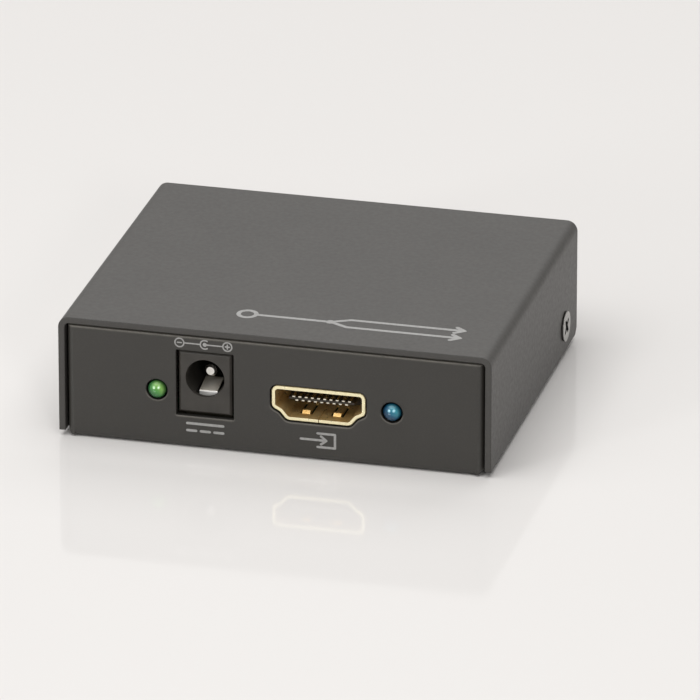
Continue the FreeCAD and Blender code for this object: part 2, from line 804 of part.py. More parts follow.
def lamp_lead_slots():
    return [
        (
            f"{lamp} {side} lamp_lead_spacing / 2",
            f"{LAMP_BACK} - lamp_lead / 2",
            "lamp_lead",
            "lamp_lead",
        )
        for lamp in ("-lamp_across", "lamp_across")
        for side in ("-", "+")
    ]


def circuit_board():
    body = new_body("circuit_board")
    plan = new_sketch(body, "plan", "XY_Plane", BOARD_UNDER)
    rectangle(
        plan,
        f"-{BOARD_HALF_WIDTH}",
        BOARD_HALF_WIDTH,
        f"-{BOARD_HALF_DEPTH}",
        BOARD_HALF_DEPTH,
        "board_corner",
    )
    for x, y in screw_places():
        circle(plan, x, y, TAPPED_RADIUS)
    pad(body, plan, "board_thickness")
    front, rear = f"({FRONT_FACE} + socket_recess)", f"({REAR_FACE} - socket_recess)"
    for name, places in (
        ("input_slots", socket_lead_slots("input_across", front, "+")),
        ("left_output_slots", socket_lead_slots("-output_across", rear, "-")),
        ("right_output_slots", socket_lead_slots("output_across", rear, "-")),
        ("jack_slots", jack_lead_slots()),
        ("lamp_slots", lamp_lead_slots()),
    ):
        slots = new_sketch(body, name, "XY_Plane", BOARD_UNDER)
        for x, y, width, depth in places:
            block_at(slots, x, y, f"{width} + 2 * lead_clearance", f"{depth} + 2 * lead_clearance")
        pocket(body, slots, "board_thickness")
    return body.Tip


def socket_body(label, across, rear=False):
    """A body whose origin is the middle of a socket's mouth, with Y running into the case."""
    if rear:
        return new_body(label, across, f"{REAR_FACE} - socket_recess", SOCKET_Z, 180)
    return new_body(label, across, f"{FRONT_FACE} + socket_recess", SOCKET_Z)


def socket_shell(name, across, rear=False):
    """The plated shell: a flared lip, a folded tube with a seam and spring fingers, and four legs."""
    body = socket_body(f"{name}_socket_shell", across, rear)
    lip = new_sketch(body, "lip", "XZ_Plane")
    outline(lip, socket_corners("lip_wall"))
    pad(body, lip, "lip_depth")
    chamfer(body, lambda edge: in_plane(edge, "y", "0"), "lip_edge")
    tube = new_sketch(body, "tube", "XZ_Plane", "lip_depth")
    outline(tube, socket_corners("shell_wall"))
    pad(body, tube, "shell_depth - lip_depth")
    for side, wall in (("left", "-mouth_width / 2 - shell_wall"), ("right", "mouth_width / 2")):
        legs = new_sketch(body, f"{side}_legs", "YZ_Plane", wall)
        for leg in ("shell_leg_first", "shell_leg_last"):
            rectangle(
                legs,
                f"{leg} - shell_leg_width / 2",
                f"{leg} + shell_leg_width / 2",
                f"-socket_height - {LEAD_BELOW}",
                "mouth_height / 2 - mouth_side + shell_leg_overlap",
            )
        pad(body, legs, "shell_wall")
    mouth = new_sketch(body, "mouth", "XZ_Plane")
    outline(mouth, socket_corners("0"))
    pocket(body, mouth, "shell_depth")
    seam = new_sketch(body, "seam", "XY_Plane", "-mouth_height / 2 - lip_wall - cut_overrun")
    rectangle(seam, "-seam_width / 2", "seam_width / 2", "-cut_overrun", "shell_depth + cut_overrun")
    pocket(body, seam, "lip_wall + 2 * cut_overrun")
    finger_slots(body)
    finger_bumps(body)
    return body.Tip


def finger_slots(body):
    """Narrow slots beside the spring fingers in the roof and floor of the shell."""
    slots = new_sketch(body, "finger_slots", "XY_Plane", "-mouth_height / 2 - shell_wall")
    for side in ("-", "+"):
        for edge in ("-", "+"):
            middle = f"{side} finger_spacing / 2 {edge} (finger_width + finger_slot) / 2"
            rectangle(
                slots,
                f"{middle} - finger_slot / 2",
                f"{middle} + finger_slot / 2",
                "finger_start",
                "finger_end",
            )
    pocket(body, slots, "mouth_height + 2 * shell_wall")


def finger_bumps(body):
    """The raised contact point near the free end of each spring finger."""
    bumps = new_sketch(body, "finger_bumps", "YZ_Plane", "-finger_spacing / 2 - finger_width / 2")
    end = "finger_start + finger_bump_length"
    for side in ("", "-"):
        wall = f"{side}(mouth_height / 2)"
        peak = f"{side}(mouth_height / 2 - finger_bump_peak)"
        outline(bumps, [
            ("finger_start", wall),
            (end, wall),
            (f"{end} - finger_bump_slope", peak),
            ("finger_start + finger_bump_slope", peak),
        ])
    row_of(body, pad(body, bumps, "finger_width"), bumps, "N_Axis", 2, "finger_spacing")


def socket_insulator(name, across, rear=False):
    """The moulded block that closes the shell and carries the tongue."""
    body = socket_body(f"{name}_socket_insulator", across, rear)
    block = new_sketch(body, "block", "XZ_Plane", "insulator_start")
    outline(block, socket_corners("-insulator_clearance"))
    pad(body, block, "shell_depth - insulator_start")
    tongue = new_sketch(body, "tongue", "XZ_Plane", "tongue_recess")
    block_at(tongue, "0", "tongue_rise", "tongue_width", "tongue_thickness")
    pad(body, tongue, "insulator_start - tongue_recess")
    passages = new_sketch(body, "passages", "XZ_Plane", "insulator_start")
    for sign in ("+", "-"):
        block_at(
            passages,
            "0",
            f"tongue_rise {sign} (tongue_thickness + contact_thickness) / 2",
            f"{UPPER_CONTACTS - 1} * contact_pitch + contact_width",
            "contact_thickness",
        )
    return pocket(body, passages, "shell_depth - insulator_start")


def socket_contacts(name, across, rear=False):
    """Nineteen sprung strips: ten on top of the tongue and nine below it."""
    body = socket_body(f"{name}_socket_contacts", across, rear)
    back = "shell_depth + contact_drop"
    above = "tongue_rise + tongue_thickness / 2"
    below = "tongue_rise - tongue_thickness / 2 - contact_thickness"
    for row_name, count, low in (
        ("upper", UPPER_CONTACTS, above),
        ("lower", LOWER_CONTACTS, below),
    ):
        first = f"-{count - 1} * contact_pitch / 2 - contact_width / 2"
        strip = new_sketch(body, row_name, "YZ_Plane", first)
        outline(strip, [
            ("tongue_recess + contact_setback", low),
            (f"{back} - contact_thickness", low),
            (f"{back} - contact_thickness", "-socket_height"),
            (f"{back} + contact_foot", "-socket_height"),
            (f"{back} + contact_foot", "contact_thickness - socket_height"),
            (back, "contact_thickness - socket_height"),
            (back, f"{low} + contact_thickness"),
            ("tongue_recess + contact_setback", f"{low} + contact_thickness"),
        ])
        row_of(body, pad(body, strip, "contact_width"), strip, "N_Axis", count, "contact_pitch")
    return body.Tip


def jack_body(label):
    """A body whose origin is the middle of the jack's bore at its face, with Y running inwards."""
    return new_body(label, "-jack_across", JACK_Y, JACK_Z)


def power_jack_housing():
    """The moulded housing: a square flange, a barrel behind it, the bore and the spring's channel."""
    body = jack_body("power_jack_housing")
    low = "-jack_bore_height"
    barrel = new_sketch(body, "barrel", "XZ_Plane", "jack_flange")
    half = "jack_barrel_width / 2"
    outline(barrel, [
        (f"-{half}", low),
        (half, low),
        (half, half, "jack_barrel_corner"),
        (f"-{half}", half, "jack_barrel_corner"),
    ])
    pad(body, barrel, "jack_depth - jack_flange")
    flange = new_sketch(body, "flange", "XZ_Plane")
    rectangle(
        flange,
        "-jack_width / 2",
        "jack_width / 2",
        f"{low} + jack_flange_lift",
        f"{low} + jack_height",
    )
    pad(body, flange, "jack_flange")
    chamfer(body, lambda edge: in_plane(edge, "y", "0"), "jack_edge")
    bore = new_sketch(body, "bore", "XZ_Plane")
    circle(bore, "0", "0", "jack_bore_radius")
    pocket(body, bore, "jack_depth - jack_rear_wall")
    channel = new_sketch(body, "channel", "XZ_Plane", "jack_channel_front")
    rectangle(
        channel,
        "-jack_channel_width / 2",
        "jack_channel_width / 2",
        JACK_INNER_FLOOR,
        "-jack_bore_radius / 2",
    )
    pocket(body, channel, "jack_depth - jack_channel_front")
    tail = new_sketch(body, "tail_hole", "XZ_Plane", "jack_depth - jack_rear_wall")
    circle(tail, "0", "0", "jack_tail_radius")
    pocket(body, tail, "jack_rear_wall")
    side = new_sketch(body, "switch_slot", "YZ_Plane", f"-{half}")
    rectangle(
        side,
        "switch_from_face - terminal_width / 2 - lead_clearance",
        "switch_from_face + terminal_width / 2 + lead_clearance",
        f"{SWITCH_LOW} - lead_clearance",
        f"{SWITCH_LOW} + terminal_thickness + lead_clearance",
    )
    pocket(body, side, half)
    root = new_sketch(body, "root_slot", "XY_Plane", low)
    block_at(
        root,
        "0",
        f"{SPRING_WALL} + spring_foot",
        "terminal_width + 2 * lead_clearance",
        "terminal_thickness + 2 * lead_clearance",
    )
    return pocket(body, root, "jack_channel_floor")


def power_jack_pin():
    """The centre pin, with a tail riveted through the rear wall and the rear terminal."""
    body = jack_body("power_jack_pin")
    profile = new_sketch(body, "profile", "XY_Plane")
    wall = "jack_depth - jack_rear_wall"
    end = "jack_depth + terminal_thickness"
    outline(profile, [
        ("0", "jack_pin_recess"),
        ("jack_pin_radius - jack_pin_edge", "jack_pin_recess"),
        ("jack_pin_radius", "jack_pin_recess + jack_pin_edge"),
        ("jack_pin_radius", wall),
        ("jack_tail_radius", wall),
        ("jack_tail_radius", end),
        ("jack_tail_radius + rivet_overhang", end),
        ("jack_tail_radius + rivet_overhang", f"{end} + rivet_height"),
        ("0", f"{end} + rivet_height"),
    ])
    return revolve(body, profile)


def power_jack_pin_terminal():
    """The rear strip that joins the centre pin to the board."""
    body = jack_body("power_jack_pin_terminal")
    strip = new_sketch(body, "strip", "XZ_Plane", "jack_depth")
    rectangle(
        strip,
        "-terminal_width / 2",
        "terminal_width / 2",
        f"-jack_bore_height - {LEAD_BELOW}",
        "terminal_top",
        "terminal_corner",
    )
    circle(strip, "0", "0", "jack_tail_radius")
    return pad(body, strip, "terminal_thickness")


def power_jack_spring():
    """The leaf that rises from its root to a crest below the pin and ends in a turned-down lip."""
    body = jack_body("power_jack_spring")
    side = new_sketch(body, "side", "YZ_Plane", "-leaf_width / 2")
    thick = "leaf_thickness"
    inner_knee = f"leaf_tip_drop + {thick} - {LEAF_RISE} * {thick}"
    outline(side, [
        ("leaf_tip", "-leaf_tip_drop - leaf_lip"),
        (f"leaf_tip + {thick}", "-leaf_tip_drop - leaf_lip"),
        (f"leaf_tip + {thick}", f"-({inner_knee})", "leaf_tip_round"),
        ("leaf_crest", f"-leaf_crest_drop - {thick}", "leaf_crest_round"),
        ("leaf_root", f"-leaf_root_drop - {thick}"),
        ("leaf_root", "-leaf_root_drop"),
        ("leaf_crest", "-leaf_crest_drop", f"leaf_crest_round + {thick}"),
        ("leaf_tip", "-leaf_tip_drop", f"leaf_tip_round + {thick}"),
    ])
    pad(body, side, "leaf_width")
    eye = new_sketch(body, "eye", "YZ_Plane", "-leaf_width / 2")
    circle(eye, "leaf_root", f"-leaf_root_drop - {thick} / 2", "leaf_eye_radius")
    return pad(body, eye, "leaf_width")


def power_jack_spring_terminal():
    """The fixed root of the leaf, with its leg through the board."""
    body = jack_body("power_jack_spring_terminal")
    side = new_sketch(body, "side", "YZ_Plane", "-terminal_width / 2")
    leg = f"({SPRING_WALL} + spring_foot)"
    top = "spring_wall_rise - leaf_root_drop"
    outline(side, [
        (SPRING_WALL, JACK_INNER_FLOOR),
        (f"{leg} - terminal_thickness / 2", JACK_INNER_FLOOR),
        (f"{leg} - terminal_thickness / 2", f"-jack_bore_height - {LEAD_BELOW}"),
        (f"{leg} + terminal_thickness / 2", f"-jack_bore_height - {LEAD_BELOW}"),
        (f"{leg} + terminal_thickness / 2", f"{JACK_INNER_FLOOR} + terminal_thickness"),
        (f"{SPRING_WALL} + terminal_thickness", f"{JACK_INNER_FLOOR} + terminal_thickness"),
        (f"{SPRING_WALL} + terminal_thickness", top),
        (SPRING_WALL, top),
    ])
    return pad(body, side, "terminal_width")


def power_jack_switch_contact():
    """The fixed contact that the leaf leaves when a plug goes in."""
    body = jack_body("power_jack_switch_contact")
    side = new_sketch(body, "side", "XZ_Plane", "switch_from_face - terminal_width / 2")
    outer = "(-switch_across - terminal_thickness / 2)"
    outline(side, [
        (outer, f"-jack_bore_height - {LEAD_BELOW}"),
        (f"{outer} + terminal_thickness", f"-jack_bore_height - {LEAD_BELOW}"),
        (f"{outer} + terminal_thickness", SWITCH_LOW),
        ("-switch_end", SWITCH_LOW),
        ("-switch_end", f"{SWITCH_LOW} + terminal_thickness"),
        (outer, f"{SWITCH_LOW} + terminal_thickness"),
    ])
    return pad(body, side, "terminal_width")


def lamp(name, across):
    """A three millimetre lamp lying on its side, with its dome out of the panel's hole."""
    body = new_body(f"{name}_lamp", across, LAMP_FRONT, LAMP_Z)
    profile = new_sketch(body, "profile", "XY_Plane")
    corners = [
        ("lamp_radius", "lamp_radius"),
        ("lamp_radius", "lamp_length - lamp_flange_thickness"),
        ("lamp_flange_radius", "lamp_length - lamp_flange_thickness"),
        ("lamp_flange_radius", "lamp_length"),
        ("0", "lamp_length"),
        ("0", "0"),
    ]
    points = [FreeCAD.Vector(number(x), number(y), 0) for x, y in corners]
    profile.addGeometry([Part.LineSegment(start, end) for start, end in zip(points, points[1:])])
    last = len(points) - 2
    radius = number("lamp_radius")
    ring = Part.Circle(FreeCAD.Vector(0, radius, 0), FreeCAD.Vector(0, 0, 1), radius)
    dome = profile.addGeometry(Part.ArcOfCircle(ring, -math.pi / 2, 0))
    rules = [(Sketcher.Constraint("Coincident", side, 2, side + 1, 1), None) for side in range(last)]
    for side in range(last + 1):
        rules += point_rules(side, 1, *corners[side])
    rules += point_rules(last, 2, *corners[-1])
    rules += [
        (Sketcher.Constraint("Coincident", dome, 1, last, 2), None),
        (Sketcher.Constraint("Coincident", dome, 2, 0, 1), None),
        (Sketcher.Constraint("PointOnObject", dome, 3, -2), None),
    ]
    add_rules(profile, rules)
    return revolve(body, profile)


def lamp_leads(name, across):
    body = new_body(f"{name}_lamp_leads", across, LAMP_FRONT, LAMP_Z)
    back = "(lamp_length + lamp_lead_reach + lamp_lead)"
    for side_name, side in (("left", "-"), ("right", "")):
        lead = new_sketch(body, side_name, "YZ_Plane", f"{side}lamp_lead_spacing / 2 - lamp_lead / 2")
        outline(lead, [
            ("lamp_length", "-lamp_lead / 2"),
            (f"{back} - lamp_lead", "-lamp_lead / 2"),
            (f"{back} - lamp_lead", f"-lamp_height - {LEAD_BELOW}"),
            (back, f"-lamp_height - {LEAD_BELOW}"),
            (back, "lamp_lead / 2"),
            ("lamp_length", "lamp_lead / 2"),
        ])
        pad(body, lead, "lamp_lead")
    return body.Tip


def chip_body(label):
    return new_body(label, "chip_across", "chip_along", BOARD_TOP)


def splitter_chip():
    body = chip_body("splitter_chip")
    plan = new_sketch(body, "plan", "XY_Plane", "chip_lift")
    half = "chip_size / 2"
    rectangle(plan, f"-{half}", half, f"-{half}", half, "chip_corner")
    pad(body, plan, "chip_thickness")
    mark = new_sketch(body, "first_leg_mark", "XY_Plane", "chip_lift + chip_thickness")
    circle(mark, f"chip_mark_inset - {half}", f"{half} - chip_mark_inset", "chip_mark_radius")
    return pocket(body, mark, "chip_mark_depth", "-")


def gull_wing(sketch, sign, half, thickness):
    """A leg that leaves a chip at half its height, turns down and ends in a foot on the board."""
    middle = f"(chip_lift + {thickness} / 2)"
    knee = f"({half} + leg_reach / 2)"
    outline(sketch, [
        (f"{sign}({half})", f"{middle} - leg_thickness / 2"),
        (f"{sign}({knee} - leg_thickness)", f"{middle} - leg_thickness / 2"),
        (f"{sign}({knee} - leg_thickness)", "0"),
        (f"{sign}({half} + leg_reach)", "0"),
        (f"{sign}({half} + leg_reach)", "leg_thickness"),
        (f"{sign}{knee}", "leg_thickness"),
        (f"{sign}{knee}", f"{middle} + leg_thickness / 2"),
        (f"{sign}({half})", f"{middle} + leg_thickness / 2"),
    ])


def splitter_chip_legs():
    """Eleven gull wing legs on each of the four sides."""
    body = chip_body("splitter_chip_legs")
    first = f"-{CHIP_LEGS - 1} / 2 * chip_pitch - chip_leg_width / 2"
    for name, role, sign in (
        ("right", "XZ_Plane", ""),
        ("left", "XZ_Plane", "-"),
        ("rear", "YZ_Plane", ""),
        ("front", "YZ_Plane", "-"),
    ):
        leg = new_sketch(body, name, role, first)
        gull_wing(leg, sign, "chip_size / 2", "chip_thickness")
        row = row_of(body, pad(body, leg, "chip_leg_width"), leg, "N_Axis", CHIP_LEGS, "chip_pitch")
        row.Reversed = role == "XZ_Plane"
    return body.Tip


def memory_chip():
    body = new_body("memory_chip", *MEMORY_PLACE, BOARD_TOP)
    plan = new_sketch(body, "plan", "XY_Plane", "chip_lift")
    block_at(plan, "0", "0", "memory_length", "memory_width")
    pad(body, plan, "memory_thickness")
    first = f"-{MEMORY_LEGS - 1} / 2 * memory_pitch - memory_leg_width / 2"
    for name, sign in (("rear", ""), ("front", "-")):
        leg = new_sketch(body, name, "YZ_Plane", first)
        gull_wing(leg, sign, "memory_width / 2", "memory_thickness")
        row_of(body, pad(body, leg, "memory_leg_width"), leg, "N_Axis", MEMORY_LEGS, "memory_pitch")
    return body.Tip


def crystal():
    """A low metal can on its flat base."""
    body = new_body("crystal", *CRYSTAL_PLACE, BOARD_TOP)
    for name, low, height, inset in (
        ("base", "0", "crystal_base", "0"),
        ("can", "crystal_base", "crystal_height - crystal_base", "crystal_rim"),
    ):
        plan = new_sketch(body, name, "XY_Plane", low)
        width = f"(crystal_width / 2 - {inset})"
        length = f"(crystal_length / 2 - {inset})"
        rectangle(plan, f"-{width}", width, f"-{length}", length, f"crystal_corner - {inset}")
        pad(body, plan, height)
    return body.Tip


def voltage_regulators():
    """Two regulators, each with three feet on its left and a wide tab on its right."""
    body = new_body("voltage_regulators", REGULATOR_ACROSS, REGULATOR_ALONG, BOARD_TOP)
    tab_middle = "(regulator_width / 2 - regulator_foot_overlap + regulator_foot / 2)"
    for name, along in (("first", "0"), ("second", "(regulator_length + regulator_spacing)")):
        plan = new_sketch(body, f"{name}_case", "XY_Plane", "regulator_lift")
        block_at(plan, "0", along, "regulator_width", "regulator_length")
        pad(body, plan, "regulator_height")
        feet = new_sketch(body, f"{name}_feet", "XY_Plane")
        for step in (-1, 0, 1):
            foot_along = f"{along} + ({step}) * regulator_foot_pitch"
            block_at(feet, f"-{tab_middle}", foot_along, "regulator_foot", "regulator_foot_width")
        block_at(feet, tab_middle, along, "regulator_foot", "regulator_tab_width")
        pad(body, feet, "regulator_foot_thickness")
    return body.Tip


def power_coil():
    body = new_body("power_coil", *COIL_PLACE, BOARD_TOP)
    half = "coil_size / 2"
    for name, low in (("base", "0"), ("flange", "coil_height - coil_base")):
        plan = new_sketch(body, name, "XY_Plane", low)
        rectangle(plan, f"-{half}", half, f"-{half}", half, "coil_corner")
        pad(body, plan, "coil_base")
    core = new_sketch(body, "core", "XY_Plane", "coil_base")
    circle(core, "0", "0", "coil_core_radius")
    return pad(body, core, "coil_height - 2 * coil_base")


def bulk_capacitors():
    """Two round cans on square moulded bases."""
    body = new_body("bulk_capacitors", CAPACITOR_ACROSS, CAPACITOR_ALONG, BOARD_TOP)
    bases = new_sketch(body, "bases", "XY_Plane")
    cans = new_sketch(body, "cans", "XY_Plane", "capacitor_base_height")
    side = "2 * (capacitor_radius + capacitor_base_margin)"
    for along in ("0", "capacitor_pitch"):
        block_at(bases, "0", along, side, side)
        circle(cans, "0", along, "capacitor_radius")
    pad(body, bases, "capacitor_base_height")
    return pad(body, cans, "capacitor_height - capacitor_base_height")


def boxes_on_board(label, places, length, width, height):
    """A group of plain moulded bodies standing on the board at places."""
    body = new_body(label, z=BOARD_TOP)
    plan = new_sketch(body, "plan", "XY_Plane")
    for x, y in places:
        block_at(plan, x, y, length, width)
    return pad(body, plan, height)


def surge_protectors():
    """Three arrays behind the input socket and two behind each output socket."""
    places = [(f"input_across + ({step}) * array_pitch", f"-{ARRAY_ALONG}") for step in (-1, 0, 1)]
    places += [
        (f"{side}output_across {sign} array_pitch / 2", ARRAY_ALONG)
        for side in ("-", "")
        for sign in ("-", "+")
    ]
    boxes_on_board("surge_protectors", places, "array_length", "array_width", "array_height")


def small_capacitor_places():
    """A row of five before and behind the splitter chip and two at its right."""
    row = f"({CHIP_HALF} + small_part_gap)"
    places = [
        (f"chip_across + ({step}) * small_part_pitch", f"chip_along {sign} {row}")
        for sign in ("-", "+")
        for step in (-2, -1, 0, 1, 2)
    ]
    places += [
        (f"chip_across + {row} + small_part_length / 2", f"chip_along {sign} small_part_spacing")
        for sign in ("-", "+")
    ]
    return places


def small_resistor_places():
    """One behind each lamp, four by the memory chip, two by the crystal, two between the outputs."""
    places = [(f"{side}lamp_across", f"{LAMP_BACK} + small_part_spacing") for side in ("-", "")]
    memory_across, memory_along = MEMORY_PLACE
    row = f"{memory_along} + memory_width / 2 + leg_reach + small_part_spacing"
    places += [
        (f"{memory_across} {sign} small_part_pitch / 2", f"{row} + {step} * small_part_spacing")
        for sign in ("-", "+")
        for step in (0, 1)
    ]
    crystal_across, crystal_along = CRYSTAL_PLACE
    beside = f"{crystal_across} - crystal_width / 2 - small_part_length"
    places += [
        (beside, f"{crystal_along} + crystal_length / 2 - {step} * small_part_spacing")
        for step in (0, 1)
    ]
    places += [(f"{sign}small_part_pitch", ARRAY_ALONG) for sign in ("-", "")]
    return places


def build():
    top_cover()
    base_tray()
    cover_screws()
    board_standoffs()
    board_screws()
    circuit_board()
    for name, across, rear in (
        ("input", "input_across", False),
        ("left_output", "-output_across", True),
        ("right_output", "output_across", True),
    ):
        socket_shell(name, across, rear)
        socket_insulator(name, across, rear)
        socket_contacts(name, across, rear)
    power_jack_housing()
    power_jack_pin()
    power_jack_pin_terminal()
    power_jack_spring()
    power_jack_spring_terminal()
    power_jack_switch_contact()
    for name, across in (("power", "-lamp_across"), ("signal", "lamp_across")):
        lamp(name, across)
        lamp_leads(name, across)
    splitter_chip()
    splitter_chip_legs()
    memory_chip()
    crystal()
    voltage_regulators()
    power_coil()
    bulk_capacitors()
    boxes_on_board("resettable_fuse", [FUSE_PLACE], "fuse_length", "fuse_width", "fuse_height")
    surge_protectors()
    small = ("small_part_length", "small_part_width", "small_part_height")
    boxes_on_board("small_capacitors", small_capacitor_places(), *small)
    boxes_on_board("small_resistors", small_resistor_places(), *small)


def check_and_write():
    doc.recompute()
    for thing in doc.Objects:
        if "Invalid" in thing.State or "Error" in thing.State:
            raise ValueError(f"{thing.Label}: {thing.State} {thing.getStatusString()}")
    for piece in pieces:
        if piece.Shape.isNull() or not piece.Shape.isValid():
            raise ValueError(f"{piece.Label}: its shape is not valid")
    os.makedirs("parts", exist_ok=True)
    for piece in pieces:
        piece.Shape.exportStep(f"parts/{piece.Label}.step")
        print(piece.Label, len(piece.Shape.Solids), round(piece.Shape.Volume, 2))


build()
check_and_write()
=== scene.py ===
import json
import math

import bmesh
import bpy
from mathutils import Matrix, Vector


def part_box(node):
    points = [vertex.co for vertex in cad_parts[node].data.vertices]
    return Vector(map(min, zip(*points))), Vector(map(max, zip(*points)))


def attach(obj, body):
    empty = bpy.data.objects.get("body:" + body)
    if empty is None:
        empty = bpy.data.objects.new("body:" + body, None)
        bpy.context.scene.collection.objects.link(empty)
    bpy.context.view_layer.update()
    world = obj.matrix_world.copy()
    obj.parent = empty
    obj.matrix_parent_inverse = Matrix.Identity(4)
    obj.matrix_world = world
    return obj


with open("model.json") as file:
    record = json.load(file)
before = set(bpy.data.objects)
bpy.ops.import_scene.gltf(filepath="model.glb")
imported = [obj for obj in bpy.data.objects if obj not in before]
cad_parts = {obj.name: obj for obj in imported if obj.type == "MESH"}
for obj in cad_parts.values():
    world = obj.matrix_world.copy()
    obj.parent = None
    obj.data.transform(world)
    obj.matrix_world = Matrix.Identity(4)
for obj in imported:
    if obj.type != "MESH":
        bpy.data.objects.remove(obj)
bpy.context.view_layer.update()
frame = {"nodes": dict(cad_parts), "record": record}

# Looks for the metal-cased video splitter. The frame's pieces keep their shapes. This script gives
# them their finishes, rounds their shading, adds the printed marks, and sets the stage.

MM = 0.001
NODES = frame["nodes"]

# faces that the marks are printed on, in metres
FRONT_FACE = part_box("base_tray")[0].y
REAR_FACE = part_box("base_tray")[1].y
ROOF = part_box("top_cover")[1].z

# how far apart vertices may lie that count as one
WELD = 1e-7


# ---- shader nodes ----

def new_material(name):
    material = bpy.data.materials.new(name)
    material.use_nodes = True
    tree = material.node_tree
    return material, tree, tree.nodes["Principled BSDF"]


def add(tree, kind, **settings):
    node = tree.nodes.new(kind)
    for name, value in settings.items():
        setattr(node, name, value)
    return node


def place(tree):
    """Coordinates in metres that stay on the piece."""
    return add(tree, "ShaderNodeTexCoord").outputs["Object"]


def parts_of(tree, vector):
    """The three numbers of a vector, by the names X, Y and Z."""
    parts = add(tree, "ShaderNodeSeparateXYZ")
    tree.links.new(vector, parts.inputs["Vector"])
    return parts.outputs


def surface_parts(tree, name):
    """The three numbers of Position or True Normal at a point of the surface."""
    return parts_of(tree, add(tree, "ShaderNodeNewGeometry").outputs[name])


def noise(tree, per_metre, detail=2.0, roughness=0.5):
    """Noise with about per_metre features in a metre."""
    texture = add(tree, "ShaderNodeTexNoise")
    texture.inputs["Scale"].default_value = per_metre
    texture.inputs["Detail"].default_value = detail
    texture.inputs["Roughness"].default_value = roughness
    tree.links.new(place(tree), texture.inputs["Vector"])
    return texture.outputs["Fac"]


def spread(tree, value, low, high, from_low=0.3, from_high=0.7):
    """A value taken from one range to another; noise fills 0.3 to 0.7."""
    node = add(tree, "ShaderNodeMapRange")
    node.inputs["From Min"].default_value = from_low
    node.inputs["From Max"].default_value = from_high
    node.inputs["To Min"].default_value = low
    node.inputs["To Max"].default_value = high
    tree.links.new(value, node.inputs["Value"])
    return node.outputs["Result"]


def rise(tree, value, start, full):
    """0 up to start, 1 from full on, and an even slope between them."""
    return spread(tree, value, 0.0, 1.0, start, full)


def ramp(tree, value, *stops):
    """Colours along a value; each stop is the value and its colour."""
    node = add(tree, "ShaderNodeValToRGB")
    elements = node.color_ramp.elements
    while len(elements) < len(stops):
        elements.new(0.5)
    for element, (where, color) in zip(elements, stops):
        element.position = where
        element.color = (*color, 1.0)
    tree.links.new(value, node.inputs["Fac"])
    return node.outputs["Color"]


def mix(tree, share, first, second):
    """first where share is 0 and second where it is 1; each is an output or a colour."""
    node = add(tree, "ShaderNodeMix", data_type="RGBA")
    color_sockets = [socket for socket in node.inputs if socket.type == "RGBA"]
    factor = next(socket for socket in node.inputs if socket.type == "VALUE")
    tree.links.new(share, factor)
    for socket, given in zip(color_sockets, (first, second)):
        if isinstance(given, tuple):
            socket.default_value = (*given, 1.0)
        else:
            tree.links.new(given, socket)
    return next(socket for socket in node.outputs if socket.type == "RGBA")


def combine(tree, operation, first, second=0.0):
    """A sum, product or the like; each side is an output or a number."""
    node = add(tree, "ShaderNodeMath", operation=operation)
    for socket, given in zip(node.inputs, (first, second)):
        if isinstance(given, (int, float)):
            socket.default_value = given
        else:
            tree.links.new(given, socket)
    return node.outputs["Value"]


def shifted(tree, operation, vector, by):
    """A vector with a fixed vector taken away or multiplied in."""
    node = add(tree, "ShaderNodeVectorMath", operation=operation)
    tree.links.new(vector, node.inputs[0])
    node.inputs[1].default_value = by
    return node.outputs["Vector"]


def distance(tree, vector, middle):
    """How far a point is from a fixed middle."""
    node = add(tree, "ShaderNodeVectorMath", operation="DISTANCE")
    tree.links.new(vector, node.inputs[0])
    node.inputs[1].default_value = middle
    return node.outputs["Value"]


def facing(tree, axis):
    """1 where a face looks along the axis, either way, and 0 where it looks across."""
    return rise(tree, combine(tree, "ABSOLUTE", surface_parts(tree, "True Normal")[axis]), 0.5, 0.8)


def rounded_normal(tree, radius, samples):
    """The surface's direction as if its edges were rounded."""
    bevel = add(tree, "ShaderNodeBevel", samples=samples)
    bevel.inputs["Radius"].default_value = radius
    return bevel.outputs["Normal"]


def upper_edge(tree, radius):
    """1 on the upright faces of a piece where they end at an edge that looks up."""
    rising = rise(tree, parts_of(tree, rounded_normal(tree, radius, 6))["Z"], 0.04, 0.35)
    return combine(tree, "MULTIPLY", rising, facing(tree, "Y"))


def relief(tree, shader, height, depth, edge=None):
    """Bumps depth metres high, over edges that look rounded by edge metres."""
    bump = add(tree, "ShaderNodeBump")
    bump.inputs["Strength"].default_value = 1.0
    bump.inputs["Distance"].default_value = depth
    tree.links.new(height, bump.inputs["Height"])
    if edge:
        tree.links.new(rounded_normal(tree, edge, 4), bump.inputs["Normal"])
    tree.links.new(bump.outputs["Normal"], shader.inputs["Normal"])


def clouded(tree, shader, per_metre, detail, start, end):
    """A base colour that drifts between two; start and end are each a value of noise and its colour."""
    tree.links.new(ramp(tree, noise(tree, per_metre, detail), start, end), shader.inputs["Base Color"])


def uneven_gloss(tree, shader, height, low, high):
    """A roughness that goes from low to high with a noise."""
    tree.links.new(spread(tree, height, low, high), shader.inputs["Roughness"])


def scaled(color, factor):
    return tuple(channel * factor for channel in color)


# ---- finishes ----

